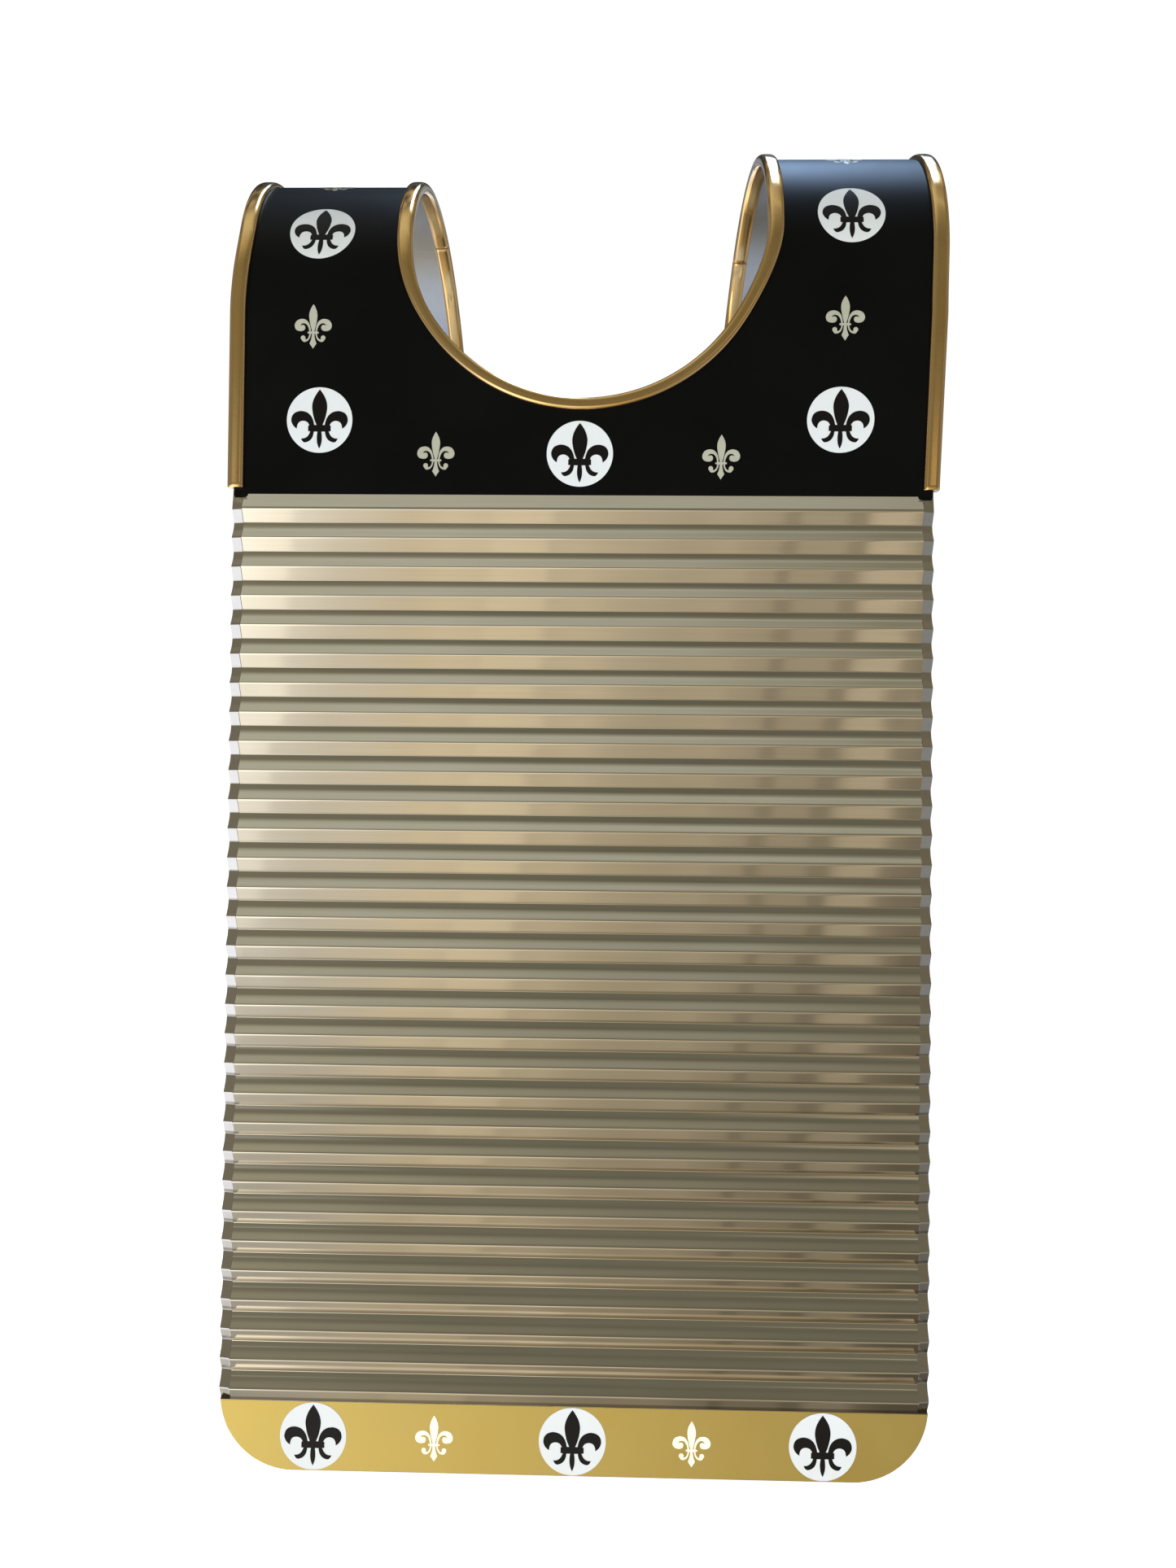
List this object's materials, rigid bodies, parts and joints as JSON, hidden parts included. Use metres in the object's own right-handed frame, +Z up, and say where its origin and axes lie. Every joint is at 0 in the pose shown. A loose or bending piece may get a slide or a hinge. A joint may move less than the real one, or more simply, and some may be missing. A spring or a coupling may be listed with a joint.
{
  "type": "washboard",
  "caption": "Shoulder-worn rubboard: ribbed steel front with bent-over shoulder straps, black and gold film, gold channel trim and fleur-de-lis decals.",
  "frame": {"origin": "midway between the undersides of the two strap crowns, where the shoulders carry the board", "axes": "+Z up as worn, the ribbed front faces -Y, +X to the right of a viewer facing the front"},
  "size_m": [0.3921, 0.1733, 0.7484],
  "materials": {
    "steel_sheet": "bright rolled stainless sheet with fine horizontal grain",
    "black_film": "satin black vinyl film",
    "gold_film": "satin metallic gold film",
    "gold_trim": "polished gold-coloured channel moulding",
    "white_vinyl": "white vinyl decal",
    "black_vinyl": "black vinyl decal",
    "champagne_vinyl": "champagne metallic vinyl decal",
    "cream_vinyl": "pale cream vinyl decal"
  },
  "bodies": {
    "root": {"bib_left_disc": "white_vinyl", "bib_left_fleur": "black_vinyl", "bib_left_small_fleur": "champagne_vinyl", "bib_middle_disc": "white_vinyl", "bib_middle_fleur": "black_vinyl", "bib_plate": "steel_sheet", "bib_right_disc": "white_vinyl", "bib_right_fleur": "black_vinyl", "bib_right_small_fleur": "champagne_vinyl", "foot_film": "gold_film", "foot_left_disc": "white_vinyl", "foot_left_fleur": "black_vinyl", "foot_left_small_fleur": "cream_vinyl", "foot_middle_disc": "white_vinyl", "foot_middle_fleur": "black_vinyl", "foot_right_disc": "white_vinyl", "foot_right_fleur": "black_vinyl", "foot_right_small_fleur": "cream_vinyl", "left_shoulder_strap": "steel_sheet", "left_side_trim": "gold_trim", "left_strap_1_small_fleur": "champagne_vinyl", "left_strap_2_disc": "white_vinyl", "left_strap_2_fleur": "black_vinyl", "left_strap_3_small_fleur": "champagne_vinyl", "left_strap_4_disc": "white_vinyl", "left_strap_4_fleur": "black_vinyl", "left_strap_5_small_fleur": "champagne_vinyl", "left_strap_6_disc": "white_vinyl", "left_strap_6_fleur": "black_vinyl", "neck_trim": "gold_trim", "ribbed_panel": "steel_sheet", "right_shoulder_strap": "steel_sheet", "right_side_trim": "gold_trim", "right_strap_1_small_fleur": "champagne_vinyl", "right_strap_2_disc": "white_vinyl", "right_strap_2_fleur": "black_vinyl", "right_strap_3_small_fleur": "champagne_vinyl", "right_strap_4_disc": "white_vinyl", "right_strap_4_fleur": "black_vinyl", "right_strap_5_small_fleur": "champagne_vinyl", "right_strap_6_disc": "white_vinyl", "right_strap_6_fleur": "black_vinyl", "yoke_film": "black_film"}
  },
  "joints": []
}
